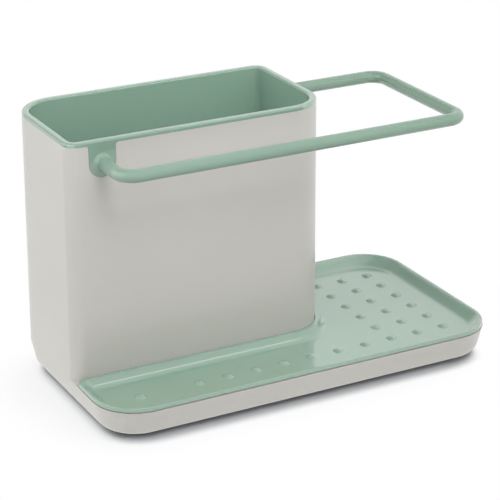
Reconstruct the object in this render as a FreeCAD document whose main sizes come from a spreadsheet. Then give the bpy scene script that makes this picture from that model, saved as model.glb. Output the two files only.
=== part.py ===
import FreeCAD, Part
import math
import os
import re
import Sketcher

# Kitchen sink caddy: a pan with a tall holder, a lift-out liner, a cloth rail and a drip tray.
# Millimetres, +Z up, +X along the length, +Y to the back, origin under the middle of the pan.

os.makedirs("parts", exist_ok=True)
doc = FreeCAD.newDocument("sink_caddy")
sheet = doc.addObject("Spreadsheet::Sheet", "Sizes")

sizes = (
    # Pan and holder, one moulding
    ("pan_length", 205.4),
    ("pan_depth", 110.8),
    ("pan_height", 13.4),
    ("pan_corner", 21.0),
    ("pan_taper", 2.9),
    ("pan_floor", 2.2),
    ("pan_edge", 5.6),
    ("shell_wall", 1.7),
    ("well_lag", 0.8),
    ("holder_length", 134.0),
    ("holder_depth", 70.0),
    ("holder_height", 125.8),
    ("holder_round", 20.0),
    ("holder_draft", 0.6),
    # Liner and the tabs that carry the rail
    ("liner_gap", 0.4),
    ("liner_wall", 1.4),
    ("liner_floor", 2.0),
    ("liner_lift", 2.0),
    ("liner_bevel", 2.0),
    ("liner_edge", 2.7),
    ("rim_height", 1.9),
    ("rim_bevel", 0.6),
    ("tab_width", 12.4),
    ("tab_drop", 8.7),
    ("tab_flare", 1.8),
    ("tab_gap", 0.3),
    ("front_tab", 17.2),
    ("side_tab", 15.3),
    ("drain_width", 3.0),
    ("drain_length", 32.0),
    ("drain_pitch", 20.0),
    # Cloth rail
    ("rail_bore", 6.0),
    ("rail_bend", 7.5),
    ("rail_reach", 21.5),
    ("rail_overhang", 58.2),
    ("boss_height", 2.0),
    ("boss_flare", 1.4),
    ("spigot_bore", 3.4),
    ("spigot_length", 4.5),
    ("spigot_gap", 0.05),
    # Drip tray
    ("tray_inset", 0.3),
    ("tray_gap", 0.3),
    ("tray_lip", 2.1),
    ("tray_depth", 4.8),
    ("tray_floor", 1.8),
    ("tray_flange", 1.0),
    ("tray_ridge", 2.2),
    ("tray_sweep", 6.5),
    ("tray_back_sweep", 3.4),
    ("tray_knee", 1.1),
    ("tray_corner", 1.8),
    ("tray_end", 4.5),
    ("tray_flat", 2.0),
    ("bowl_gap", 0.6),
    ("bowl_bevel", 3.0),
    ("lip_bevel", 0.35),
    ("dome_width", 5.2),
    ("dome_waist", 3.8),
    ("dome_crown", 1.6),
    ("dome_height", 1.1),
    ("dome_pitch_x", 14.8),
    ("dome_pitch_y", 14.2),
    ("dome_right", 19.4),
    ("dome_front", 20.3),
    ("dome_left", 23.2),
    ("dome_holder", 22.9),
    # Feet
    ("foot_rise", 1.2),
    ("foot_seat", 0.8),
    ("foot_width", 12.0),
    ("foot_gap", 0.15),
    ("foot_inset", 18.0),
)
# What the tray's short ends need beside a pan corner, and the corner that leaves room for it
limits = (
    ("tray_short", "=tray_gap + tray_ridge + tray_back_sweep + tray_corner + tray_flat"),
    ("corner", "=min(pan_corner; pan_depth - holder_depth - tray_short)"),
)
for row, (alias, value) in enumerate(sizes + limits, start=1):
    sheet.set(f"A{row}", alias)
    sheet.set(f"B{row}", str(value))
    sheet.setAlias(f"B{row}", alias)
doc.recompute()

# Places that several pieces share, as sums of sizes
left = "- pan_length/2"
right = "pan_length/2"
front = "- pan_depth/2"
back = "pan_depth/2"
holder_right = f"{left} + holder_length"
holder_front = f"{back} - holder_depth"
underside = "foot_rise"
floor_top = f"{underside} + pan_floor"
pan_top = f"{underside} + pan_height"
holder_top = f"{underside} + holder_height"
rim_top = f"{holder_top} + rim_height"
rail_level = f"{holder_top} - tab_drop"
liner_bottom = f"{pan_top} + liner_lift"
tray_top = f"{pan_top} + tray_lip"
dish_floor = f"{tray_top} - tray_depth"
tab_x = f"{left} + front_tab"
tab_y = f"{back} - side_tab"
front_face = f"{holder_front} + holder_draft"
right_face = f"{holder_right} - holder_draft"
holder_edge = "holder_draft + shell_wall + liner_gap + liner_wall + liner_edge"

# How close two places count as one when edges are picked
near = 0.001

# What the tray's sweep is divided by to give how far in its shoulder and its knee are
shoulder_part = 3.2
knee_part = 1.7

# Sides of each dome and foot, few because they repeat
dome_side_count = 8
foot_side_count = 16


def measure(text):
    """The value in millimetres of a sum of sizes."""
    value = 0.0
    sign = 1.0
    for word in text.split():
        if word in "+-":
            sign = 1.0 if word == "+" else -1.0
            continue
        name, _, share = word.partition("/")
        value += sign * float(sheet.get(name)) / float(share or 1)
    return value


def bound(text):
    """The same sum as an expression on the sheet."""
    return re.sub(r"[a-z]\w*", r"Sizes.\g<0>", text)


def less(text, taken):
    """A sum of sizes with every term of another sum taken from it."""
    if not taken:
        return text
    signed = taken if taken[0] in "+-" else f"+ {taken}"
    turned = signed.translate(str.maketrans("+-", "-+"))
    return f"{text} {turned}"


def make_body(label):
    body = doc.addObject("PartDesign::Body", label)
    body.Label = label
    return body


def origin_part(body, role):
    return next(item for item in body.Origin.OriginFeatures if item.Role == role)


def make_sketch(body, name, plane, place):
    """A sketch on an origin plane, moved along that plane's global axis to a place."""
    sketch = body.newObject("Sketcher::SketchObject", name)
    sketch.AttachmentSupport = [(origin_part(body, plane), "")]
    sketch.MapMode = "FlatFace"
    side = -1 if plane == "XZ_Plane" else 1
    sketch.setExpression("AttachmentOffset.Base.z", f"{side} * ({bound(place)})")
    return sketch


def tie(sketch, kind, *parts):
    """A dimension of a sketch whose value is a sum of sizes."""
    index = sketch.addConstraint(Sketcher.Constraint(kind, *parts[:-1], measure(parts[-1])))
    sketch.setExpression(f"Constraints[{index}]", bound(parts[-1]))


def tie_point(sketch, shape, point, x, y):
    tie(sketch, "DistanceX", -1, 1, shape, point, x)
    tie(sketch, "DistanceY", -1, 1, shape, point, y)


def corner_of(leg, following):
    """Where a leg along one axis meets the next leg, which runs across it."""
    first = measure(leg[1])
    second = measure(following[1])
    return FreeCAD.Vector(first, second, 0) if leg[0] == "x" else FreeCAD.Vector(second, first, 0)


def draw_outline(sketch, legs, ends=None):
    """Straight legs, each at one x or y, with rounded or sharp corners between them.

    A leg is its axis, its place and the radius where it meets the next leg.
    With ends, the start and end of the first and last leg, the outline stays open.
    """
    count = len(legs)
    joined = count if ends is None else count - 1
    corners = [corner_of(legs[k], legs[(k + 1) % count]) for k in range(joined)]
    if ends is None:
        stops = [(corners[k - 1], corners[k]) for k in range(count)]
    else:
        start = corner_of(legs[0], (None, ends[0]))
        finish = corner_of(legs[-1], (None, ends[1]))
        chain = [start] + corners + [finish]
        stops = list(zip(chain, chain[1:]))
    ways = [(end - begin).normalize() for begin, end in stops]
    rounds = [measure(leg[2]) if leg[2] else 0.0 for leg in legs]
    lines = []
    for k, (begin, end) in enumerate(stops):
        opening = rounds[k - 1] if ends is None or k > 0 else 0.0
        closing = rounds[k] if ends is None or k < count - 1 else 0.0
        line = Part.LineSegment(begin + ways[k] * opening, end - ways[k] * closing)
        lines.append(sketch.addGeometry(line))
        along = "Vertical" if legs[k][0] == "x" else "Horizontal"
        sketch.addConstraint(Sketcher.Constraint(along, lines[k]))
    for k, corner in enumerate(corners):
        following = (k + 1) % count
        if rounds[k] == 0.0:
            sketch.addConstraint(Sketcher.Constraint("Coincident", lines[k], 2, lines[following], 1))
            continue
        pair = (lines[k], lines[following])
        join_with_arc(sketch, pair, corner, ways[k], ways[following], legs[k][2])
    for k, (axis, place, _) in enumerate(legs):
        tie(sketch, "DistanceX" if axis == "x" else "DistanceY", -1, 1, lines[k], 1, place)
    if ends is not None:
        tie(sketch, "DistanceY" if legs[0][0] == "x" else "DistanceX", -1, 1, lines[0], 1, ends[0])
        tie(sketch, "DistanceY" if legs[-1][0] == "x" else "DistanceX", -1, 1, lines[-1], 2, ends[1])


def join_with_arc(sketch, pair, corner, way, next_way, radius_text):
    """A tangent arc between a pair of legs that meet at a corner."""
    radius = measure(radius_text)
    middle = corner - way * radius + next_way * radius
    leaving = corner - way * radius - middle
    arriving = corner + next_way * radius - middle
    turns_left = way.cross(next_way).z > 0
    begin, end = (leaving, arriving) if turns_left else (arriving, leaving)
    circle = Part.Circle(middle, FreeCAD.Vector(0, 0, 1), radius)
    angles = [math.atan2(spoke.y, spoke.x) for spoke in (begin, end)]
    arc = sketch.addGeometry(Part.ArcOfCircle(circle, *angles))
    first, last = (1, 2) if turns_left else (2, 1)
    sketch.addConstraint(Sketcher.Constraint("Tangent", pair[0], 2, arc, first))
    sketch.addConstraint(Sketcher.Constraint("Tangent", arc, last, pair[1], 1))
    tie(sketch, "Radius", arc, radius_text)


def draw_circle(sketch, x, y, radius):
    middle = FreeCAD.Vector(measure(x), measure(y), 0)
    circle = sketch.addGeometry(Part.Circle(middle, FreeCAD.Vector(0, 0, 1), measure(radius)))
    tie_point(sketch, circle, 3, x, y)
    tie(sketch, "Radius", circle, radius)


def extrude(body, kind, sketch, length, reverse=False):
    """A pad or pocket whose length is a sum of sizes, checked to add or take material."""
    before = body.Shape.Volume if not body.Shape.isNull() else 0.0
    feature = body.newObject(f"PartDesign::{kind}", f"{sketch.Name}_{kind.lower()}")
    feature.Profile = sketch
    feature.Reversed = reverse
    feature.setExpression("Length", bound(length))
    doc.recompute()
    change = feature.Shape.Volume - before
    if (change > 0) != (kind == "Pad"):
        raise RuntimeError(f"{feature.Name} changed the volume by {change:.1f} mm3")
    return feature


def loft(body, kind, sketch, *sections):
    """A straight-sided loft from one outline through others."""
    doc.recompute()
    feature = body.newObject(f"PartDesign::{kind}", f"{sketch.Name}_loft")
    feature.Profile = sketch
    feature.Sections = list(sections)
    feature.Ruled = True
    doc.recompute()
    return feature


def edges_where(feature, test):
    names = [f"Edge{k}" for k, edge in enumerate(feature.Shape.Edges, start=1) if test(edge)]
    if not names:
        raise RuntimeError(f"{feature.Name} has no such edge")
    return names


def on_level(level):
    """A test for edges that lie flat at a height."""
    height = measure(level)
    return lambda edge: max(abs(edge.BoundBox.ZMin - height), abs(edge.BoundBox.ZMax - height)) < near


def round_edges(body, base, test, radius):
    fillet = body.newObject("PartDesign::Fillet", "round_edges")
    fillet.Base = (base, edges_where(base, test))
    fillet.setExpression("Radius", bound(radius))
    doc.recompute()
    return fillet


def bevel_edges(body, base, test, size):
    bevel = body.newObject("PartDesign::Chamfer", "bevel_edges")
    bevel.Base = (base, edges_where(base, test))
    bevel.setExpression("Size", bound(size))
    doc.recompute()
    return bevel


def pan_legs(inset):
    """The pan's outline, counter-clockwise from its front, moved inwards by a sum of sizes."""
    corner = less("corner", inset)
    return [
        ("y", f"{front} {inset}", corner),
        ("x", less(right, inset), corner),
        ("y", less(back, inset), corner),
        ("x", f"{left} {inset}", corner),
    ]


def holder_legs(inset):
    """The holder's outline, counter-clockwise from its front, moved inwards by a sum of sizes."""
    return [
        ("y", f"{holder_front} {inset}", less("holder_round", inset)),
        ("x", less(holder_right, inset), less(holder_edge, inset)),
        ("y", less(back, inset), less("corner", inset)),
        ("x", f"{left} {inset}", less(holder_edge, inset)),
    ]


def sump_legs():
    """The hollow below the liner, set in where the pan's wall leans in."""
    inset = "+ shell_wall + pan_taper"
    edge = less(holder_edge, "shell_wall")
    return [
        ("y", f"{holder_front} + shell_wall", less("holder_round", "shell_wall")),
        ("x", less(holder_right, "shell_wall"), edge),
        ("y", less(back, inset), less("corner", inset)),
        ("x", f"{left} {inset}", edge),
    ]


def tray_legs(outer, inner, ends):
    """An L round the holder's front and right, set in from the pan and out from the holder."""
    pan_round = less("corner", outer)
    return [
        ("y", f"{front} {outer}", pan_round),
        ("x", less(right, outer), pan_round),
        ("y", less(back, outer), ends),
        ("x", f"{holder_right} {inner}", f"holder_round {inner}"),
        ("y", less(holder_front, inner), ends),
        ("x", f"{left} {outer}", pan_round),
    ]


def draw_tab(sketch, x, y, half_width, drop, flare):
    """A U that hangs from a straight top, round below and flared where it meets the top."""
    across, level = measure(x), measure(y)
    half, rise, curl = measure(half_width), measure(drop), measure(flare)
    z_axis = FreeCAD.Vector(0, 0, 1)
    quarter = math.pi / 2

    def point(dx, dy):
        return FreeCAD.Vector(across + dx, level + dy, 0)

    bowl = Part.Circle(point(0, 0), z_axis, half)
    bottom = sketch.addGeometry(Part.ArcOfCircle(bowl, 2 * quarter, 4 * quarter))
    right_side = sketch.addGeometry(Part.LineSegment(point(half, 0), point(half, rise - curl)))
    right_curl = Part.Circle(point(half + curl, rise - curl), z_axis, curl)
    right_flare = sketch.addGeometry(Part.ArcOfCircle(right_curl, quarter, 2 * quarter))
    top = sketch.addGeometry(Part.LineSegment(point(half + curl, rise), point(-half - curl, rise)))
    left_curl = Part.Circle(point(-half - curl, rise - curl), z_axis, curl)
    left_flare = sketch.addGeometry(Part.ArcOfCircle(left_curl, 0, quarter))
    left_side = sketch.addGeometry(Part.LineSegment(point(-half, rise - curl), point(-half, 0)))
    joints = (
        (bottom, 2, right_side, 1), (right_side, 2, right_flare, 2), (right_flare, 1, top, 1),
        (top, 2, left_flare, 2), (left_flare, 1, left_side, 1), (left_side, 2, bottom, 1),
    )
    for joint in joints:
        sketch.addConstraint(Sketcher.Constraint("Tangent", *joint))
    for side in (right_side, left_side):
        sketch.addConstraint(Sketcher.Constraint("Vertical", side))
    sketch.addConstraint(Sketcher.Constraint("Horizontal", top))
    tie_point(sketch, bottom, 3, x, y)
    tie(sketch, "Radius", bottom, half_width)
    tie(sketch, "Radius", right_flare, flare)
    tie(sketch, "Radius", left_flare, flare)
    tie(sketch, "DistanceY", -1, 1, top, 1, f"{y} + {drop}")


# The two places where the rail leaves the holder: plane, place along it, place across it
rail_ends = (
    ("front", "XZ_Plane", front_face, tab_x),
    ("side", "YZ_Plane", right_face, tab_y),
)


def foot_places():
    """The name and centre of each foot."""
    for depth_name, y in (("front", f"{front} + foot_inset"), ("back", f"{back} - foot_inset")):
        for side_name, x in (("left", f"{left} + foot_inset"), ("right", f"{right} - foot_inset")):
            yield f"foot_{depth_name}_{side_name}", x, y


def build_body():
    body = make_body("body")
    pan = make_sketch(body, "pan_outline", "XY_Plane", pan_top)
    draw_outline(pan, pan_legs(""))
    sole = make_sketch(body, "pan_sole", "XY_Plane", underside)
    draw_outline(sole, pan_legs("+ pan_taper"))
    block = loft(body, "AdditiveLoft", pan, sole)
    round_edges(body, block, on_level(underside), "pan_edge")
    holder = make_sketch(body, "holder_outline", "XY_Plane", pan_top)
    draw_outline(holder, holder_legs(""))
    brim = make_sketch(body, "holder_brim", "XY_Plane", holder_top)
    draw_outline(brim, holder_legs("+ holder_draft"))
    loft(body, "AdditiveLoft", holder, brim)
    well = make_sketch(body, "tray_well", "XY_Plane", pan_top)
    draw_outline(well, tray_legs("+ shell_wall", "", ""))
    well_floor = make_sketch(body, "tray_well_floor", "XY_Plane", floor_top)
    draw_outline(well_floor, tray_legs("+ shell_wall + pan_taper - well_lag", "", ""))
    loft(body, "SubtractiveLoft", well, well_floor)
    hollow = make_sketch(body, "holder_hollow", "XY_Plane", holder_top)
    draw_outline(hollow, holder_legs("+ holder_draft + shell_wall"))
    extrude(body, "Pocket", hollow, "holder_height - pan_height")
    sump = make_sketch(body, "holder_sump", "XY_Plane", pan_top)
    draw_outline(sump, sump_legs())
    extrude(body, "Pocket", sump, "pan_height - pan_floor")
    for name, plane, face, across in rail_ends:
        notch = make_sketch(body, f"{name}_notch", plane, f"{face} {boss_side(plane)} holder_draft")
        draw_tab(notch, across, rail_level, "tab_width/2 + tab_gap", "tab_drop", "tab_flare - tab_gap")
        extrude(body, "Pocket", notch, "holder_draft + shell_wall")
    seats = make_sketch(body, "foot_seats", "XY_Plane", underside)
    for _, x, y in foot_places():
        draw_polygon(seats, x, y, "foot_width/2 + foot_gap", foot_side_count)
    extrude(body, "Pocket", seats, "foot_seat", reverse=True)
    return body


def build_liner():
    body = make_body("liner")
    gap = "+ holder_draft + shell_wall + liner_gap"
    lining = make_sketch(body, "lining_outline", "XY_Plane", liner_bottom)
    draw_outline(lining, holder_legs(gap))
    block = extrude(body, "Pad", lining, less(holder_top, liner_bottom))
    bevel_edges(body, block, on_level(liner_bottom), "liner_bevel")
    rim = make_sketch(body, "rim_outline", "XY_Plane", holder_top)
    draw_outline(rim, holder_legs("+ holder_draft"))
    extrude(body, "Pad", rim, "rim_height")
    for name, plane, face, across in rail_ends:
        tab = make_sketch(body, f"{name}_tab", plane, face)
        draw_tab(tab, across, rail_level, "tab_width/2", "tab_drop", "tab_flare")
        extrude(body, "Pad", tab, "shell_wall + liner_gap + liner_wall/2", reverse=True)
        boss = make_sketch(body, f"{name}_boss", plane, face)
        draw_circle(boss, across, rail_level, "rail_bore/2")
        extrude(body, "Pad", boss, "boss_height")
    hollow = make_sketch(body, "liner_hollow", "XY_Plane", rim_top)
    draw_outline(hollow, holder_legs(f"{gap} + liner_wall"))
    depth = less(less(rim_top, liner_bottom), "liner_floor")
    cup = extrude(body, "Pocket", hollow, depth)
    cup = bevel_edges(body, cup, on_level(rim_top), "rim_bevel")
    for _, plane, face, across in rail_ends:
        cup = bevel_edges(body, cup, boss_root(plane, face, across), "boss_flare")
    for name, plane, face, across in rail_ends:
        socket = make_sketch(body, f"{name}_socket", plane, f"{face} {boss_side(plane)} boss_height")
        draw_circle(socket, across, rail_level, "spigot_bore/2 + spigot_gap")
        extrude(body, "Pocket", socket, "spigot_length + spigot_gap")
    drain_floor(body, f"{liner_bottom} + liner_floor")
    return body


def boss_side(plane):
    """The sign of the way a boss stands out of its wall."""
    return "-" if plane == "XZ_Plane" else "+"


def boss_root(plane, face, across):
    """A test for the circle where a boss leaves its tab."""
    along, level, wall = measure(across), measure(rail_level), measure(face)
    place = (along, wall, level) if plane == "XZ_Plane" else (wall, along, level)
    middle = FreeCAD.Vector(*place)
    span = math.sqrt(2) * measure("rail_bore")

    def test(edge):
        box = edge.BoundBox
        return box.Center.distanceToPoint(middle) < near and abs(box.DiagonalLength - span) < near

    return test


def drain_floor(body, inner_floor):
    """A row of drain slots along the middle of the liner's floor."""
    margin = "shell_wall + liner_gap + liner_wall + liner_bevel + drain_width"
    free = measure(less(less("holder_length", margin), margin))
    count = int(free // measure("drain_pitch")) + 1
    first_x = f"{left} + holder_length/2" + " - drain_pitch/2" * (count - 1)
    middle_y = f"{back} - holder_depth/2"
    slot = make_sketch(body, "drain_slot", "XY_Plane", inner_floor)
    draw_outline(slot, [
        ("y", f"{middle_y} - drain_length/2", ""),
        ("x", f"{first_x} + drain_width/2", ""),
        ("y", f"{middle_y} + drain_length/2", ""),
        ("x", f"{first_x} - drain_width/2", ""),
    ])
    repeat(body, extrude(body, "Pocket", slot, "liner_floor"), "drain_pitch", count)


def repeat(body, feature, pitch_x, count_x, pitch_y="", count_y=1):
    """Copies of a feature to the right and, with a second pitch, to the back."""
    pattern = body.newObject("PartDesign::LinearPattern", f"{feature.Name}_row")
    pattern.Originals = [feature]
    pattern.Direction = (origin_part(body, "X_Axis"), [""])
    pattern.Occurrences = count_x
    pattern.setExpression("Length", f"{bound(pitch_x)} * {count_x - 1}")
    if count_y > 1:
        pattern.Direction2 = (origin_part(body, "Y_Axis"), [""])
        pattern.Occurrences2 = count_y
        pattern.setExpression("Length2", f"{bound(pitch_y)} * {count_y - 1}")
    body.Tip = pattern
    doc.recompute()


def build_rail():
    body = make_body("cloth_rail")
    route = make_sketch(body, "rail_route", "XY_Plane", rail_level)
    start = f"{front_face} - boss_height"
    finish = f"{right_face} + boss_height"
    legs = [
        ("x", tab_x, "rail_bend"),
        ("y", f"{holder_front} - rail_reach", "rail_bend"),
        ("x", f"{holder_right} + rail_overhang", "rail_bend"),
        ("y", tab_y, ""),
    ]
    draw_outline(route, legs, ends=(start, finish))
    section = make_sketch(body, "rail_section", "XZ_Plane", start)
    draw_circle(section, tab_x, rail_level, "rail_bore/2")
    doc.recompute()
    bar = body.newObject("PartDesign::AdditivePipe", "rail_bar")
    bar.Profile = section
    bar.Spine = (route, [])
    doc.recompute()
    for (name, plane, _, across), place in zip(rail_ends, (start, finish)):
        spigot = make_sketch(body, f"{name}_spigot", plane, place)
        draw_circle(spigot, across, rail_level, "spigot_bore/2")
        extrude(body, "Pad", spigot, "spigot_length", reverse=True)
    return body


def build_tray():
    body = make_body("drip_tray")
    flange = make_sketch(body, "flange_outline", "XY_Plane", pan_top)
    draw_outline(flange, tray_legs("+ tray_inset", "+ tray_gap", "tray_end"))
    lip = extrude(body, "Pad", flange, "tray_lip")
    bevel_edges(body, lip, on_level(tray_top), "lip_bevel")
    bowl = make_sketch(body, "bowl_outline", "XY_Plane", pan_top)
    draw_outline(bowl, tray_legs("+ shell_wall + bowl_gap", "+ tray_gap", "tray_end"))
    tray = extrude(body, "Pad", bowl, "tray_depth + tray_floor - tray_lip", reverse=True)
    bevel_edges(body, tray, on_level(f"{dish_floor} - tray_floor"), "bowl_bevel")
    sides = []
    for name, level, share in (
        ("dish_mouth", tray_top, ""),
        ("dish_shoulder", pan_top, f"/{shoulder_part}"),
        ("dish_knee", f"{dish_floor} + tray_knee", f"/{knee_part}"),
        ("dish_floor", dish_floor, "/1"),
    ):
        side = make_sketch(body, name, "XY_Plane", level)
        outer = "+ tray_inset + tray_flange"
        inner = "+ tray_gap + tray_ridge"
        ends = "tray_back_sweep + tray_corner"
        if share:
            outer = f"{outer} + tray_sweep{share}"
            inner = f"{inner} + tray_back_sweep{share}"
            ends = f"{ends} - tray_back_sweep{share}"
        draw_outline(side, tray_legs(outer, inner, ends))
        sides.append(side)
    loft(body, "SubtractiveLoft", *sides)
    add_domes(body)
    return body


def add_domes(body):
    """A block of domes right of the holder, a row in front of it and one more at the left end."""
    across = measure("pan_length - holder_length - dome_right - dome_holder")
    along = measure("pan_depth - dome_front - dome_front")
    columns = round(across / measure("dome_pitch_x")) + 1
    rows = round(along / measure("dome_pitch_y")) + 1
    first_x = f"{right} - dome_right" + " - dome_pitch_x" * (columns - 1)
    row_y = f"{front} + dome_front"
    lone_x = f"{left} + dome_left"
    spare = measure(less(first_x, lone_x)) / measure("dome_pitch_x")
    row_count = round(spare) - 2
    row_x = first_x + " - dome_pitch_x" * row_count
    repeat(body, add_dome(body, "block", first_x, row_y), "dome_pitch_x", columns, "dome_pitch_y", rows)
    repeat(body, add_dome(body, "row", row_x, row_y), "dome_pitch_x", row_count)
    add_dome(body, "lone", lone_x, row_y)


def add_dome(body, name, x, y):
    """A low dome in two slopes on the dish floor."""
    rings = (
        ("foot", dish_floor, "dome_width/2"),
        ("waist", f"{dish_floor} + dome_height/2", "dome_waist/2"),
        ("crown", f"{dish_floor} + dome_height", "dome_crown/2"),
    )
    sketches = []
    for ring, level, radius in rings:
        sketch = make_sketch(body, f"{name}_dome_{ring}", "XY_Plane", level)
        draw_polygon(sketch, x, y, radius, dome_side_count)
        sketches.append(sketch)
    return loft(body, "AdditiveLoft", *sketches)


def draw_polygon(sketch, x, y, radius, count):
    """A regular polygon inside a circle, with its first side level."""
    middle = FreeCAD.Vector(measure(x), measure(y), 0)
    reach = measure(radius)
    turn = 2 * math.pi / count
    angles = [(k - 0.5) * turn - math.pi / 2 for k in range(count)]
    corners = [middle + FreeCAD.Vector(math.cos(angle), math.sin(angle), 0) * reach for angle in angles]
    circle = sketch.addGeometry(Part.Circle(middle, FreeCAD.Vector(0, 0, 1), reach), True)
    sides = []
    for k, corner in enumerate(corners):
        sides.append(sketch.addGeometry(Part.LineSegment(corner, corners[(k + 1) % count])))
    for k, side in enumerate(sides):
        sketch.addConstraint(Sketcher.Constraint("Coincident", side, 2, sides[(k + 1) % count], 1))
        sketch.addConstraint(Sketcher.Constraint("PointOnObject", side, 1, circle))
    for side in sides[1:]:
        sketch.addConstraint(Sketcher.Constraint("Equal", sides[0], side))
    sketch.addConstraint(Sketcher.Constraint("Horizontal", sides[0]))
    tie_point(sketch, circle, 3, x, y)
    tie(sketch, "Radius", circle, radius)


def build_foot(label, x, y):
    body = make_body(label)
    disc = make_sketch(body, f"{label}_disc", "XY_Plane", f"{underside} + foot_seat")
    draw_polygon(disc, x, y, "foot_width/2", foot_side_count)
    extrude(body, "Pad", disc, "foot_seat + foot_rise", reverse=True)
    return body


def check_and_write(bodies):
    doc.recompute()
    for item in doc.Objects:
        if "Invalid" in item.State or "Error" in item.State:
            raise RuntimeError(f"{item.Name} failed: {item.State}")
    for body in bodies:
        shape = body.Shape
        if shape.isNull() or not shape.isValid() or len(shape.Solids) != 1:
            raise RuntimeError(f"{body.Label} is not one valid solid")
        print(f"{body.Label}: {shape.Volume / 1000:.2f} cm3")
    for body in bodies:
        body.Shape.exportStep(f"parts/{body.Label}.step")


pieces = [build_body(), build_liner(), build_rail(), build_tray()]
pieces += [build_foot(label, x, y) for label, x, y in foot_places()]
check_and_write(pieces)
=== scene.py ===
import math
import bpy
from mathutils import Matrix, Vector


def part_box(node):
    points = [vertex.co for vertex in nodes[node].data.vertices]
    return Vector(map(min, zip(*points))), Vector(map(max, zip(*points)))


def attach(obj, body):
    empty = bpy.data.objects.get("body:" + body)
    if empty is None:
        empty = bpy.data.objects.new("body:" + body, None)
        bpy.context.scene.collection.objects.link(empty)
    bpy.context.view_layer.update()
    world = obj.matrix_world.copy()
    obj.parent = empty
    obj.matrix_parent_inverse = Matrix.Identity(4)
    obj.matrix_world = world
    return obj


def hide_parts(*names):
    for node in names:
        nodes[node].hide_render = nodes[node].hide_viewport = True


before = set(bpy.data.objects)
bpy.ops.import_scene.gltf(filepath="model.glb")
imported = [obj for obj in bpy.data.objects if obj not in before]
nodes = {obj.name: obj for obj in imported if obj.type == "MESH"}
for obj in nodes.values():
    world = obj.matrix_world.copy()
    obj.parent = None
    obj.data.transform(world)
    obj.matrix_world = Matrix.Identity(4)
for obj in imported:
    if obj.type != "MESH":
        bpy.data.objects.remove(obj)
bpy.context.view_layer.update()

scene = bpy.context.scene
scene.view_settings.view_transform = "Standard"
print("frame loaded:", ", ".join(sorted(nodes)))


# small helpers for working on one object at a time: lengths in metres, angles in degrees

meshWork = {"weld": 2e-6, "flatAngle": 0.4, "cornerAngle": 22, "tinyEdge": 1e-6, "faceWeight": 50}
hair = 1e-5   # lengths that differ by less count as equal


def pickOnly(obj):
    if bpy.context.object and bpy.context.object.mode != "OBJECT":
        bpy.ops.object.mode_set(mode="OBJECT")
    bpy.ops.object.select_all(action="DESELECT")
    obj.select_set(True)
    bpy.context.view_layer.objects.active = obj


def copyOfNode(nodeName, pieceName):
    # the solid's mesh as one welded skin, flat faces joined up
    pickOnly(nodes[nodeName])
    bpy.ops.object.duplicate()
    piece = bpy.context.object
    piece.name = pieceName
    piece.data.name = pieceName
    for key in list(piece.keys()):
        del piece[key]
    piece.parent = None
    piece.data.materials.clear()
    bpy.ops.object.mode_set(mode="EDIT")
    bpy.ops.mesh.select_all(action="SELECT")
    bpy.ops.mesh.customdata_custom_splitnormals_clear()
    bpy.ops.mesh.remove_doubles(threshold=meshWork["weld"])
    bpy.ops.mesh.dissolve_limited(angle_limit=math.radians(meshWork["flatAngle"]))
    bpy.ops.mesh.select_all(action="DESELECT")
    bpy.ops.object.mode_set(mode="OBJECT")
    return piece


def clearPicks(piece, kind):
    # nothing selected on the piece, in object mode, ready to select points or edges by script
    pickOnly(piece)
    bpy.ops.object.mode_set(mode="EDIT")
    bpy.ops.mesh.select_mode(type=kind)
    bpy.ops.mesh.select_all(action="DESELECT")
    bpy.ops.object.mode_set(mode="OBJECT")


def pickPoints(piece, test):
    # leaves the piece in edit mode with only the points that pass the test selected
    clearPicks(piece, "VERT")
    count = 0
    for point in piece.data.vertices:
        point.select = test(point.co)
        count += point.select
    bpy.ops.object.mode_set(mode="EDIT")
    return count


def roundEdges(piece, test, width, segments):
    # bevels the edges whose ends pass the test and which really turn a corner
    clearPicks(piece, "EDGE")
    mesh = piece.data
    normals = {}
    for face in mesh.polygons:
        for key in face.edge_keys:
            normals.setdefault(key, []).append(face.normal.copy())
    for edge in mesh.edges:
        pair = normals[edge.key]
        turn = pair[0].angle(pair[1], 0.0) if len(pair) == 2 else 0.0
        ends = [mesh.vertices[k].co for k in edge.vertices]
        edge.select = turn > math.radians(meshWork["cornerAngle"]) and all(test(end) for end in ends)
    bpy.ops.object.mode_set(mode="EDIT")
    bpy.ops.mesh.bevel(offset=width, offset_type="OFFSET", segments=segments, profile=0.5,
                       affect="EDGES", clamp_overlap=True)
    bpy.ops.mesh.select_all(action="SELECT")
    bpy.ops.mesh.dissolve_degenerate(threshold=meshWork["tinyEdge"])
    bpy.ops.mesh.select_all(action="DESELECT")
    bpy.ops.object.mode_set(mode="OBJECT")


def smoothSkin(piece, angle):
    # soft shading over the rounds, with the big flat faces kept flat
    pickOnly(piece)
    bpy.ops.object.shade_smooth_by_angle(angle=math.radians(angle))
    weighted = piece.modifiers.new("weighted", "WEIGHTED_NORMAL")
    weighted.mode = "FACE_AREA"
    weighted.weight = meshWork["faceWeight"]
    weighted.keep_sharp = True
    pickOnly(piece)
    for modifier in list(piece.modifiers):
        bpy.ops.object.modifier_apply(modifier=modifier.name)


def standFor(piece, body, slotName, material, *nodeNames):
    piece.data.materials.append(material)
    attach(piece, body)
    if nodeNames:
        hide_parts(*nodeNames)


# shader maths: a wire is one socket, and sums of wires add the nodes

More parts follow.
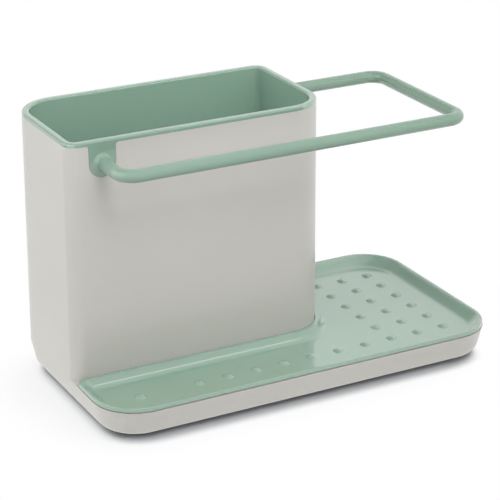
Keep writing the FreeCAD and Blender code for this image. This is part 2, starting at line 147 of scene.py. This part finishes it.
class Wire:
    def __init__(self, tree, socket=None):
        self.tree = tree
        self.socket = socket

    def plug(self, target, value):
        if isinstance(value, Wire):
            self.tree.links.new(value.socket, target)
        else:
            target.default_value = value

    def node(self, kind, settings=None, inputs=None, output=0):
        made = self.tree.nodes.new("ShaderNode" + kind)
        for name, value in (settings or {}).items():
            if name == "stops":
                for stop, (place, colour) in zip(made.color_ramp.elements, value):
                    stop.position = place
                    stop.color = colour
            else:
                setattr(made, name, value)
        for key, value in (inputs or {}).items():
            self.plug(made.inputs[key], value)
        return Wire(self.tree, made.outputs[output])

    def sum(self, operation, first, second):
        return self.node("Math", {"operation": operation}, {0: first, 1: second})

    def __add__(self, other):
        return self.sum("ADD", self, other)

    def __sub__(self, other):
        return self.sum("SUBTRACT", self, other)

    def __rsub__(self, other):
        return self.sum("SUBTRACT", other, self)

    def __mul__(self, other):
        return self.sum("MULTIPLY", self, other)


pureBlack = (0.0, 0.0, 0.0, 1.0)
pureWhite = (1.0, 1.0, 1.0, 1.0)


def sRgb(red, green, blue):
    # a colour as read off a screen, turned to the linear one that shaders use
    def linear(value):
        share = value / 255
        return share / 12.92 if share <= 0.04045 else ((share + 0.055) / 1.055) ** 2.4
    return (linear(red), linear(green), linear(blue), 1.0)


def noise(bench, place, scale, detail, roughness):
    inputs = {"Vector": place, "Scale": scale, "Detail": detail, "Roughness": roughness}
    return bench.node("TexNoise", {"noise_dimensions": "3D"}, inputs, "Fac")


def pastLimits(bench, place, outer):
    # 1 on top of the rim and outside the walls, where the tabs are, 0 inside the holder, where the
    # lining's colour is painted lighter against the shade
    mask = 0.0
    for axis, sign, limit in outer["limits"]:
        along = bench.node("SeparateXYZ", None, {0: place}, axis) * sign
        past = bench.node("MapRange", None, {"Value": along, "From Min": limit,
                                             "From Max": limit + outer["blend"]})
        mask = bench.sum("MAXIMUM", past, mask)
    return mask


# what all the plastics share: each noise has its detail and roughness, each bump its height
plasticMake = {
    "cloudNoise": (3.0, 0.55), "grainNoise": (2.0, 0.6), "rubNoise": (4.0, 0.65), "sinkNoise": (1.0, 0.4),
    "rubTilt": (0.3, 0.2, 0.5), "rubFrom": 0.40, "rubTo": 0.95, "deepAt": 0.30, "colourAt": 0.70,
    "sinkHeight": 0.001, "grainHeight": 0.0001, "ior": 1.5,
}


def mouldedPlastic(name, look):
    # glossy moulded plastic: cloudy tint, fine grain, sink marks and faint rub marks
    make = plasticMake
    material = bpy.data.materials.new(name)
    material.use_nodes = True
    tree = material.node_tree
    shader = next(item for item in tree.nodes if item.type == "BSDF_PRINCIPLED")
    bench = Wire(tree)
    place = bench.node("TexCoord", output="Object")
    cloud = noise(bench, place, look["cloudScale"], *make["cloudNoise"])
    speck = noise(bench, place, look["grainScale"], *make["grainNoise"])
    stretched = bench.node("Mapping", {"vector_type": "POINT"},
                           {"Vector": place, "Rotation": make["rubTilt"], "Scale": look["rubStretch"]})
    rub = noise(bench, stretched, look["rubScale"], *make["rubNoise"])
    rubStops = ((make["rubFrom"], pureBlack), (make["rubTo"], pureWhite))
    rubMask = bench.node("ValToRGB", {"stops": rubStops}, {0: rub})
    toneStops = ((make["deepAt"], look["deep"]), (make["colourAt"], look["colour"]))
    tone = bench.node("ValToRGB", {"stops": toneStops}, {0: cloud + (speck - 0.5) * look["grainTint"]})
    # an outer colour goes on past the limits and the look's own colour stays inside; the lining's inside
    # colour is painted lighter, as painted light against the shade in the holder
    if "outer" in look:
        mask = pastLimits(bench, place, look["outer"])
        tone = bench.node("Mix", {"data_type": "RGBA"},
                          {"Factor": mask, "A": tone, "B": look["outer"]["colour"]}, "Result")
    bench.plug(shader.inputs["Base Color"], tone)
    sheen = rubMask * look["rubRough"] + (cloud - 0.5) * look["cloudRough"] + look["rough"]
    bench.plug(shader.inputs["Roughness"], sheen)
    swell = noise(bench, place, look["sinkScale"], *make["sinkNoise"])
    waves = bench.node("Bump", None, {"Strength": look["sinkDepth"], "Distance": make["sinkHeight"],
                                      "Height": swell})
    grain = bench.node("Bump", None, {"Strength": look["grainDepth"], "Distance": make["grainHeight"],
                                      "Height": speck, "Normal": waves})
    bench.plug(shader.inputs["Normal"], grain)
    shader.inputs["IOR"].default_value = make["ior"]
    shader.inputs["Coat Weight"].default_value = look["coat"]
    shader.inputs["Coat Roughness"].default_value = look["coatRough"]
    shader.inputs["Coat IOR"].default_value = look["coatIor"]
    return material


# the pale grey moulding: pan and holder, each rounded edge with its width and segments

shellLook = {
    "colour": sRgb(190, 188, 182), "deep": sRgb(184, 182, 176),
    "cloudScale": 9.0, "cloudRough": 0.06,
    "grainScale": 2600.0, "grainTint": 0.25, "grainDepth": 0.03,
    "rubStretch": (1.0, 1.0, 0.12), "rubScale": 240.0, "rubRough": 0.02,
    "sinkScale": 22.0, "sinkDepth": 0.06,
    "rough": 0.34, "coat": 0.35, "coatRough": 0.16, "coatIor": 1.5,
}
shellSize = {
    "brimEdge": (0.00015, 2), "topBand": 0.016, "seamGap": 0.00038, "brimWidth": 0.0030,
    "halfLength": 0.1027, "halfDepth": 0.0554, "corner": 0.021,
    "holderRight": 0.0316, "holderFront": -0.0149, "smoothAngle": 40,
}


def outerGap(spot):
    # distance from the pan's rounded outline, nothing on it
    x = abs(spot.x) - shellSize["halfLength"] + shellSize["corner"]
    y = abs(spot.y) - shellSize["halfDepth"] + shellSize["corner"]
    return abs(math.hypot(max(x, 0), max(y, 0)) + min(max(x, y), 0) - shellSize["corner"])


def seamHeight():
    # where the tray's lip lies on the pan's brim
    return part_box("drip_tray")[1].z - traySize["lip"]


def makeShell():
    piece = copyOfNode("body", "caddyShell")
    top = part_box("body")[1].z
    seam = seamHeight()
    roundEdges(piece, lambda spot: spot.z > top - shellSize["topBand"], *shellSize["brimEdge"])
    # the brim under the tray's lip goes down a little, so that the seam shows as a thin dark line

    def seamBrim(spot):
        underTray = spot.x > shellSize["holderRight"] or spot.y < shellSize["holderFront"]
        return underTray and abs(spot.z - seam) < hair and outerGap(spot) < shellSize["brimWidth"]

    if pickPoints(piece, seamBrim):
        bpy.ops.transform.translate(value=(0, 0, -shellSize["seamGap"]))
    bpy.ops.object.mode_set(mode="OBJECT")
    smoothSkin(piece, shellSize["smoothAngle"])
    standFor(piece, "base", "shell", mouldedPlastic("paleShellPlastic", shellLook), "body")
    print("shell:", len(piece.data.polygons), "faces")


# the green pieces share one glossy plastic: the lining's inside is painted lighter, against the shade
# inside the holder, and the rail is a little duller

greenLook = {
    "colour": sRgb(133, 163, 144), "deep": sRgb(127, 157, 138),
    "cloudScale": 11.0, "cloudRough": 0.05,
    "grainScale": 3200.0, "grainTint": 0.25, "grainDepth": 0.015,
    "rubStretch": (1.0, 0.15, 1.0), "rubScale": 260.0, "rubRough": 0.02,
    "sinkScale": 26.0, "sinkDepth": 0.05,
    "rough": 0.15, "coat": 1.0, "coatRough": 0.06, "coatIor": 1.9,
}
liningRim = {
    "colour": sRgb(126, 153, 136), "blend": 0.0001,
    "limits": (("X", 1, 0.0301), ("X", -1, 0.1009), ("Y", 1, 0.0536), ("Y", -1, 0.0134), ("Z", 1, 0.1285)),
}
# the lining's inside colour is painted lighter than its rim and outside, to offset the shade inside the
# holder
liningLookPaintedLightInside = dict(greenLook, colour=sRgb(148, 178, 160), deep=sRgb(142, 172, 154), coatIor=1.5,
                  outer=liningRim)
railLook = dict(greenLook, colour=sRgb(128, 156, 138), deep=sRgb(122, 150, 132), rough=0.30, coat=0.6,
                coatRough=0.16, coatIor=1.5)
liningSize = {
    "rimEdge": (0.00025, 3), "rimBand": 0.001, "flareEdge": (0.0006, 3), "flareRadius": 0.0047,
    "tabHalf": 0.0062, "tabMargin": 0.0004, "tabProud": 0.0002, "tabDepth": 0.0016,
    "tabSpread": 0.00023, "tabFlareZ": 0.1256, "tabZ": 0.1183, "smoothAngle": 50,
}
# across and deep are axes, way points inwards, flare is the depth that the rail's flare takes up
tabs = (
    {"across": 0, "deep": 1, "middle": -0.0855, "face": -0.0141, "way": 1, "flare": (-0.0159, -0.0138)},
    {"across": 1, "deep": 0, "middle": 0.0401, "face": 0.0308, "way": -1, "flare": (0.0305, 0.0326)},
)


def aside(spot, tab):
    return spot[tab["across"]] - tab["middle"]


def tabGap(spot, tab):
    # distance from the middle of the rail's end
    return math.hypot(aside(spot, tab), spot.z - liningSize["tabZ"])


def roundFlare(piece, tab):
    low, high = tab["flare"]

    def onFlare(spot):
        return tabGap(spot, tab) < liningSize["flareRadius"] and low < spot[tab["deep"]] < high

    roundEdges(piece, onFlare, *liningSize["flareEdge"])


def snugTab(piece, tab):
    # widens a tab until it nearly fills its notch
    size = liningSize
    across = tab["across"]

    def inTab(spot):
        depth = (spot[tab["deep"]] - tab["face"]) * tab["way"]
        return (-size["tabProud"] < depth < size["tabDepth"]
                and abs(aside(spot, tab)) < size["tabHalf"] + size["tabMargin"])

    def lowPart(spot):
        return inTab(spot) and spot.z < size["tabZ"] + hair and tabGap(spot, tab) > size["flareRadius"]

    grow = Vector((1, 1, 1))
    grow[across] = grow.z = 1 + size["tabSpread"] / size["tabHalf"]
    centre = Vector((0, 0, size["tabZ"]))
    centre[across] = tab["middle"]
    if pickPoints(piece, lowPart):
        bpy.ops.transform.resize(value=grow, center_override=centre)
    for side in (-1, 1):
        def highPart(spot):
            return (inTab(spot) and size["tabZ"] + hair < spot.z < size["tabFlareZ"]
                    and aside(spot, tab) * side > size["flareRadius"])
        shift = Vector((0, 0, 0))
        shift[across] = side * size["tabSpread"]
        if pickPoints(piece, highPart):
            bpy.ops.transform.translate(value=shift)
    bpy.ops.object.mode_set(mode="OBJECT")


def makeLining(material):
    size = liningSize
    piece = copyOfNode("liner", "liftOutLining")
    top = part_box("liner")[1].z
    roundEdges(piece, lambda spot: spot.z > top - size["rimBand"], *size["rimEdge"])
    for tab in tabs:
        roundFlare(piece, tab)
    for tab in tabs:
        snugTab(piece, tab)
    smoothSkin(piece, size["smoothAngle"])
    standFor(piece, "lining", "lining", material, "liner")
    print("lining:", len(piece.data.polygons), "faces")


railSize = {"smoothAngle": 50}


def makeRail(material):
    piece = copyOfNode("cloth_rail", "clothRail")
    smoothSkin(piece, railSize["smoothAngle"])
    standFor(piece, "lining", "rail", material, "cloth_rail")
    print("rail:", len(piece.data.polygons), "faces")


traySize = {
    "lip": 0.0021, "lipEdge": (0.00015, 1), "closeUp": 0.00024, "edgeBand": 0.0009,
    "turnX": 0.0113, "turnY": 0.0054, "turnRadius": 0.0203, "smoothAngle": 50,
}


def closeUp(piece):
    # brings the tray's inner edge close to the holder's wall
    size = traySize

    def along(spot):
        gap = shellSize["holderFront"] - spot.y
        return spot.x <= size["turnX"] and 0 <= gap + hair < size["edgeBand"]

    def beside(spot):
        gap = spot.x - shellSize["holderRight"]
        return spot.y >= size["turnY"] and 0 <= gap + hair < size["edgeBand"]

    def atTurn(spot):
        gap = math.hypot(spot.x - size["turnX"], spot.y - size["turnY"]) - size["turnRadius"]
        return spot.x > size["turnX"] and spot.y < size["turnY"] and -hair < gap < size["edgeBand"]

    shrink = 1 - size["closeUp"] / size["turnRadius"]
    if pickPoints(piece, along):
        bpy.ops.transform.translate(value=(0, size["closeUp"], 0))
    if pickPoints(piece, beside):
        bpy.ops.transform.translate(value=(-size["closeUp"], 0, 0))
    if pickPoints(piece, atTurn):
        bpy.ops.transform.resize(value=(shrink, shrink, 1),
                                 center_override=(size["turnX"], size["turnY"], 0))
    bpy.ops.object.mode_set(mode="OBJECT")


def makeTray(material):
    piece = copyOfNode("drip_tray", "dripTray")
    seam = seamHeight()
    roundEdges(piece, lambda spot: abs(spot.z - seam) < hair, *traySize["lipEdge"])
    closeUp(piece)
    smoothSkin(piece, traySize["smoothAngle"])
    standFor(piece, "tray", "tray", material, "drip_tray")
    print("tray:", len(piece.data.polygons), "faces")


domeSize = {
    "radius": 0.0027, "rise": 0.0012, "seat": 0.0001, "around": 32, "rings": 40, "smoothAngle": 50,
    "blockX": 0.0537, "pitchX": 0.0148, "columns": 3,
    "rowY": -0.0351, "pitchY": 0.0142, "rows": 6,
    "rowCount": 7, "loneX": -0.0795, "floorZ": 0.0119,
}


def domePlaces():
    # the block at the right, the row along the front and the single one at the left
    size = domeSize
    for column in range(size["columns"]):
        for row in range(size["rows"]):
            yield size["blockX"] + column * size["pitchX"], size["rowY"] + row * size["pitchY"]
    for step in range(1, size["rowCount"] + 1):
        yield size["blockX"] - step * size["pitchX"], size["rowY"]
    yield size["loneX"], size["rowY"]


def makeDomes(material):
    # one cap cut from a ball, then copied to every place and joined
    size = domeSize
    ball = (size["radius"] ** 2 + size["rise"] ** 2) / (2 * size["rise"])
    bpy.ops.object.select_all(action="DESELECT")
    bpy.ops.mesh.primitive_uv_sphere_add(segments=size["around"], ring_count=size["rings"], radius=ball,
                                         location=(0, 0, 0))
    first = bpy.context.object
    bpy.ops.object.mode_set(mode="EDIT")
    bpy.ops.mesh.select_all(action="SELECT")
    bpy.ops.mesh.bisect(plane_co=(0, 0, ball - size["rise"] - size["seat"]), plane_no=(0, 0, 1),
                        clear_inner=True, use_fill=True)
    bpy.ops.mesh.select_all(action="SELECT")
    bpy.ops.transform.translate(value=(0, 0, size["floorZ"] + size["rise"] - ball))
    bpy.ops.object.mode_set(mode="OBJECT")
    caps = []
    for x, y in domePlaces():
        pickOnly(first)
        bpy.ops.object.duplicate(linked=False)
        bpy.context.object.location = (x, y, 0)
        caps.append(bpy.context.object)
    bpy.data.objects.remove(first)
    for cap in caps:
        cap.select_set(True)
    bpy.context.view_layer.objects.active = caps[0]
    bpy.ops.object.join()
    piece = bpy.context.object
    bpy.ops.object.transform_apply(location=True, rotation=True, scale=True)
    piece.name = "trayDomes"
    piece.data.name = "trayDomes"
    bpy.ops.object.shade_smooth_by_angle(angle=math.radians(size["smoothAngle"]))
    standFor(piece, "tray", "tray", material)
    print("domes:", len(caps))


# the four soft pads

padLook = {
    "colour": sRgb(58, 58, 57), "deep": sRgb(46, 46, 46),
    "cloudScale": 60.0, "cloudRough": 0.08,
    "grainScale": 2600.0, "grainTint": 0.8, "grainDepth": 0.35,
    "rubStretch": (1.0, 1.0, 1.0), "rubScale": 500.0, "rubRough": 0.1,
    "sinkScale": 90.0, "sinkDepth": 0.05,
    "rough": 0.72, "coat": 0.0, "coatRough": 0.5, "coatIor": 1.5,
}
padSize = {"smoothAngle": 30}


def makePads():
    material = mouldedPlastic("softPadRubber", padLook)
    for name in sorted(nodes):
        if name.startswith("foot_"):
            piece = copyOfNode(name, name.replace("foot", "softPad"))
            smoothSkin(piece, padSize["smoothAngle"])
            standFor(piece, "base", "foot", material, name)
    print("pads: four")


makeShell()
greenPlastic = mouldedPlastic("sageGreenPlastic", greenLook)
makeLining(mouldedPlastic("liningGreenPaintedLighterInside", liningLookPaintedLightInside))
makeRail(mouldedPlastic("railGreenPlastic", railLook))
makeTray(greenPlastic)
makeDomes(greenPlastic)
makePads()


# floor, light and camera

# the floor's shadow is partly painted: near the object the camera sees a darker, bluish shadow paper,
# picked by leaned ambient occlusion
studio = {
    "floorSize": 12.0, "floorColour": (0.88, 0.88, 0.885, 1.0), "shadowPaper": (0.31, 0.322, 0.34, 1.0),
    "nearShadow": {"reach": 0.013, "dark": 0.24, "bright": 0.60, "lean": (0.22, 0.66, 0.72)},
    "farShadow": {"reach": 0.045, "dark": 0.25, "bright": 0.85, "lean": (0.65, 0.25, 0.72)},
    "farDepth": 0.15, "shadowRays": 24,
    "skyStrength": 0.42, "ceiling": (0.30, 0.30, 0.31, 1.0), "ceilingFrom": 0.68, "ceilingTo": 0.90,
    "ceilingToward": (-0.35, 0.45, 0.82),
}
softboxes = {
    "leftSoftbox": {"place": (-0.55, 0.12, 0.28), "aim": (-0.10, 0.02, 0.07), "size": (0.75, 0.60),
                    "power": 1.95, "spread": 180, "mirrored": True},
    "frontSoftbox": {"place": (0.10, -0.52, 0.60), "aim": (0.0, 0.0, 0.08), "size": (1.10, 0.80),
                     "power": 1.65, "spread": 180, "mirrored": False},
    "frontStrip": {"place": (0.0, -0.60, 0.50), "aim": (0.0, 0.0, 0.08), "size": (1.10, 0.06),
                   "power": 0.45, "spread": 180, "mirrored": True},
    "rightSoftbox": {"place": (0.60, -0.10, 0.20), "aim": (0.05, 0.0, 0.06), "size": (0.40, 0.40),
                     "power": 0.7, "spread": 180, "mirrored": False},
    "topSoftbox": {"place": (-0.03, -0.22, 0.50), "aim": (-0.03, 0.03, 0.11), "size": (0.30, 0.30),
                   "power": 0.22, "spread": 60, "mirrored": False},
}
cameraLook = {
    "place": (-0.40187, -0.73978, 0.40058),
    "tilt": 67.712, "roll": 0.0, "turn": -28.228,
    "lens": 137.64, "sensor": 36.0, "nearest": 0.01, "farthest": 50.0,
}


def emptyTree(owner):
    owner.use_nodes = True
    owner.node_tree.nodes.clear()
    return Wire(owner.node_tree)


def plugSurface(bench, kind, surface):
    finish = bench.tree.nodes.new("ShaderNodeOutput" + kind)
    bench.plug(finish.inputs["Surface"], surface)


def smoothRange(bench, value, low, high):
    return bench.node("MapRange", {"interpolation_type": "SMOOTHSTEP"},
                      {"Value": value, "From Min": low, "From Max": high})


def ray(bench, kind):
    return bench.node("LightPath", output="Is " + kind + " Ray")


def seenStraight(bench):
    # 1 for what the camera sees itself, in a gloss or through something clear
    either = ray(bench, "Camera") + ray(bench, "Glossy")
    return bench.node("Math", {"operation": "ADD", "use_clamp": True},
                      {0: either, 1: ray(bench, "Transmission")})


def skyShare(bench, shadow):
    # 1 where the floor lies open, 0 close under the object on the side that it leans to: the mask of the
    # painted shadow
    lean = bench.node("CombineXYZ", None, dict(zip("XYZ", shadow["lean"])))
    opened = bench.node("AmbientOcclusion", {"samples": studio["shadowRays"]},
                        {"Distance": shadow["reach"], "Normal": lean}, "AO")
    return smoothRange(bench, opened, shadow["dark"], shadow["bright"])


def makeFloor():
    bpy.ops.mesh.primitive_plane_add(size=studio["floorSize"], location=(0, 0, 0))
    floor = bpy.context.object
    floor.name = "paleFloor"
    material = bpy.data.materials.new("paleFloorPaper")
    bench = emptyTree(material)
    bounce = bench.node("BsdfDiffuse", None, {"Color": studio["floorColour"]})
    # close to the object the camera sees a darker, bluish paper picked by ambient occlusion, a painted
    # shadow over the real one that the lamps cast on it, and away from it plain white
    lit = bench.node("BsdfDiffuse", None, {"Color": studio["shadowPaper"]})
    glow = bench.node("Emission", None, {"Color": pureWhite, "Strength": 1.0})
    near = skyShare(bench, studio["nearShadow"])
    far = skyShare(bench, studio["farShadow"])
    shade = 1 - near + near * ((1 - far) * studio["farDepth"])
    white = bench.node("MixShader", None, {0: shade * ray(bench, "Camera"), 1: glow, 2: lit})
    paper = bench.node("MixShader", None, {0: seenStraight(bench), 1: bounce, 2: white})
    plugSurface(bench, "Material", paper)
    # the glow is only for show: it is not sampled as a lamp
    material.cycles.emission_sampling = "NONE"
    floor.data.materials.append(material)


def makeRoom():
    # the camera sees white all round, a gloss sees the white room under a darker ceiling
    world = bpy.data.worlds.new("studioRoom")
    scene.world = world
    bench = emptyTree(world)
    dim = bench.node("Background", None, {"Color": pureWhite, "Strength": studio["skyStrength"]})
    looking = bench.node("TexCoord", output="Generated")
    toward = bench.node("VectorMath", {"operation": "DOT_PRODUCT"},
                        {0: looking, 1: studio["ceilingToward"]}, "Value")
    overhead = smoothRange(bench, toward, studio["ceilingFrom"], studio["ceilingTo"])
    share = overhead * (1 - ray(bench, "Camera"))
    roomTone = bench.node("Mix", {"data_type": "RGBA"},
                          {"Factor": share, "A": pureWhite, "B": studio["ceiling"]}, "Result")
    white = bench.node("Background", None, {"Color": roomTone, "Strength": 1.0})
    plugSurface(bench, "World", bench.node("MixShader", None, {0: seenStraight(bench), 1: dim, 2: white}))


def makeLamps():
    for name, box in softboxes.items():
        bpy.ops.object.light_add(type="AREA", location=box["place"])
        lamp = bpy.context.object
        lamp.name = name
        lamp.data.shape = "RECTANGLE"
        lamp.data.size, lamp.data.size_y = box["size"]
        lamp.data.energy = box["power"]
        lamp.data.spread = math.radians(box["spread"])
        lamp.visible_camera = False
        lamp.visible_glossy = box["mirrored"]
        beam = Vector(box["aim"]) - Vector(box["place"])
        lamp.rotation_euler = beam.to_track_quat("-Z", "Y").to_euler()


def makeCamera():
    bpy.ops.object.camera_add(location=cameraLook["place"])
    camera = bpy.context.object
    camera.name = "photoCamera"
    camera.rotation_euler = [math.radians(cameraLook[name]) for name in ("tilt", "roll", "turn")]
    camera.data.lens = cameraLook["lens"]
    camera.data.sensor_width = cameraLook["sensor"]
    camera.data.clip_start = cameraLook["nearest"]
    camera.data.clip_end = cameraLook["farthest"]
    scene.camera = camera


makeFloor()
makeRoom()
makeLamps()
makeCamera()
print("floor, light and camera set")
